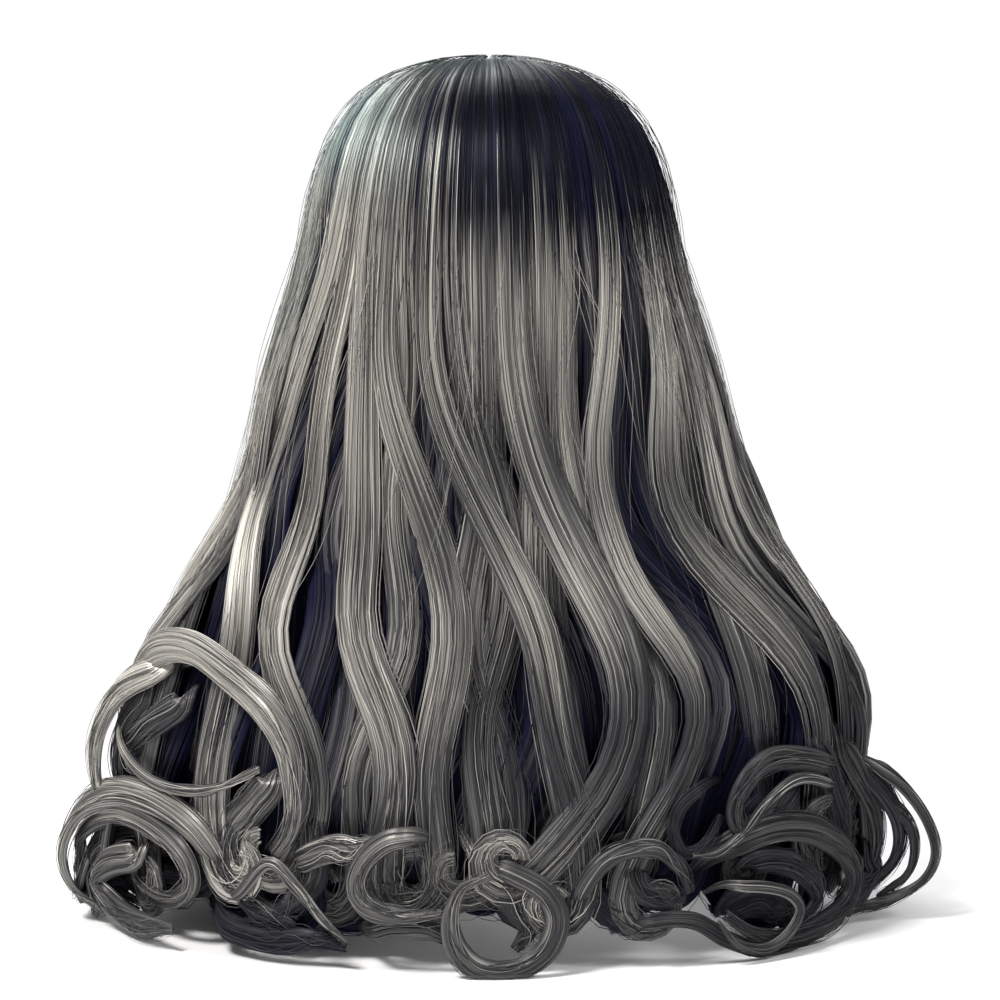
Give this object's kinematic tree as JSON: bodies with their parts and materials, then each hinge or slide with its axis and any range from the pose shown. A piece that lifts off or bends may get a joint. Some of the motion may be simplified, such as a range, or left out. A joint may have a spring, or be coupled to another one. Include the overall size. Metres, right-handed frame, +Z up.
{
  "type": "costume wig",
  "caption": "Long wavy costume wig with dark roots and curled ends on a sewn cap with wefts, ear tabs, combs and strap adjusters.",
  "frame": {"origin": "middle of the head opening at ear level, inside the cap", "axes": "+Z up to the crown, the face opening towards -Y, the nape towards +Y, the wearer's left towards +X"},
  "size_m": [0.5254, 0.3716, 0.515],
  "materials": {
    "hair": "long wavy heat-resistant fibre, smoke grey, in gathered locks with a soft sheen",
    "root_hair": "combed blue-black fibre at the roots, fading to grey",
    "cap_net": "fine open knitted lace net, black",
    "velvet_band": "short-pile velvet binding, black, stitched along both edges",
    "weft_tape": "machine-sewn weft tape with rows of stitches",
    "scalp_skin": "thin skin-coloured parting strip",
    "elastic": "ribbed elastic webbing, black",
    "hook_plastic": "moulded black plastic",
    "comb_plastic": "moulded dark plastic with rounded teeth",
    "steel_stay": "flat spring-steel stay"
  },
  "bodies": {
    "cap": {"crown_hair_left": "root_hair", "crown_hair_right": "root_hair", "crown_net": "cap_net", "curl_back_centre": "hair", "curl_back_left": "hair", "curl_back_right": "hair", "curl_back_small": "hair", "curl_corner_left": "hair", "curl_corner_right": "hair", "curl_face_right": "hair", "curl_front_left": "hair", "curl_front_right": "hair", "curl_shoulder_left": "hair", "curl_shoulder_right": "hair", "curl_side_left": "hair", "curl_side_right": "hair", "front_band": "velvet_band", "loop_sleeve_left": "weft_tape", "loop_sleeve_right": "weft_tape", "nape_band": "velvet_band", "parting_skin": "scalp_skin", "rib_centre": "cap_net", "rib_left": "cap_net", "rib_right": "cap_net", "side_band_left": "velvet_band", "side_band_right": "velvet_band", "strap_casing_left": "velvet_band", "strap_casing_right": "velvet_band", "tress_left_1": "hair", "tress_left_2": "hair", "tress_left_3": "hair", "tress_left_4": "hair", "tress_left_5": "hair", "tress_left_6": "hair", "tress_left_7": "hair", "tress_right_1": "hair", "tress_right_2": "hair", "tress_right_3": "hair", "tress_right_4": "hair", "tress_right_5": "hair", "tress_right_6": "hair", "tress_right_7": "hair", "weft_row_1": "weft_tape", "weft_row_2": "weft_tape", "weft_row_3": "weft_tape", "weft_row_4": "weft_tape", "weft_row_5": "weft_tape", "weft_row_6": "weft_tape"},
    "comb_front_left": {"comb_front_left": "comb_plastic"},
    "comb_front_right": {"comb_front_right": "comb_plastic"},
    "comb_nape_left": {"comb_nape_left": "comb_plastic"},
    "comb_nape_right": {"comb_nape_right": "comb_plastic"},
    "ear_tab_left": {"ear_tab_left": "velvet_band", "ear_stay_left": "steel_stay"},
    "ear_tab_right": {"ear_tab_right": "velvet_band", "ear_stay_right": "steel_stay"},
    "adjuster_left": {"adjuster_strap_left": "elastic", "adjuster_hook_left": "hook_plastic"},
    "adjuster_right": {"adjuster_strap_right": "elastic", "adjuster_hook_right": "hook_plastic"}
  },
  "joints": [
    {"name": "comb_front_left_hinge", "type": "hinge", "parent": "cap", "child": "comb_front_left", "pos_m": [0.02792, -0.06756, 0.07213], "axis": [-0.8427, -0.5363, 0.0469], "range_deg": [0, 50]},
    {"name": "comb_front_right_hinge", "type": "hinge", "parent": "cap", "child": "comb_front_right", "pos_m": [-0.02792, -0.06756, 0.07213], "axis": [-0.8427, 0.5363, -0.0469], "range_deg": [0, 50]},
    {"name": "comb_nape_left_hinge", "type": "hinge", "parent": "cap", "child": "comb_nape_left", "pos_m": [0.02934, 0.08606, -0.00314], "axis": [0.8701, -0.4929, -0.0033], "range_deg": [0, 50]},
    {"name": "comb_nape_right_hinge", "type": "hinge", "parent": "cap", "child": "comb_nape_right", "pos_m": [-0.02934, 0.08606, -0.00314], "axis": [0.8701, 0.4929, 0.0033], "range_deg": [0, 50]},
    {"name": "ear_tab_left_hinge", "type": "hinge", "parent": "cap", "child": "ear_tab_left", "pos_m": [0.07743, -0.00343, 0.00331], "axis": [0, -1, 0], "range_deg": [-25, 20]},
    {"name": "ear_tab_right_hinge", "type": "hinge", "parent": "cap", "child": "ear_tab_right", "pos_m": [-0.07743, -0.00343, 0.00331], "axis": [0, 1, 0], "range_deg": [-25, 20]},
    {"name": "adjuster_left_slide", "type": "hinge", "parent": "cap", "child": "adjuster_left", "pos_m": [0, 0.03252, -0.0265], "axis": [0, 0, 1], "range_deg": [0, 13]},
    {"name": "adjuster_right_slide", "type": "hinge", "parent": "cap", "child": "adjuster_right", "pos_m": [0, 0.03252, -0.0265], "axis": [0, 0, -1], "range_deg": [0, 13]}
  ]
}
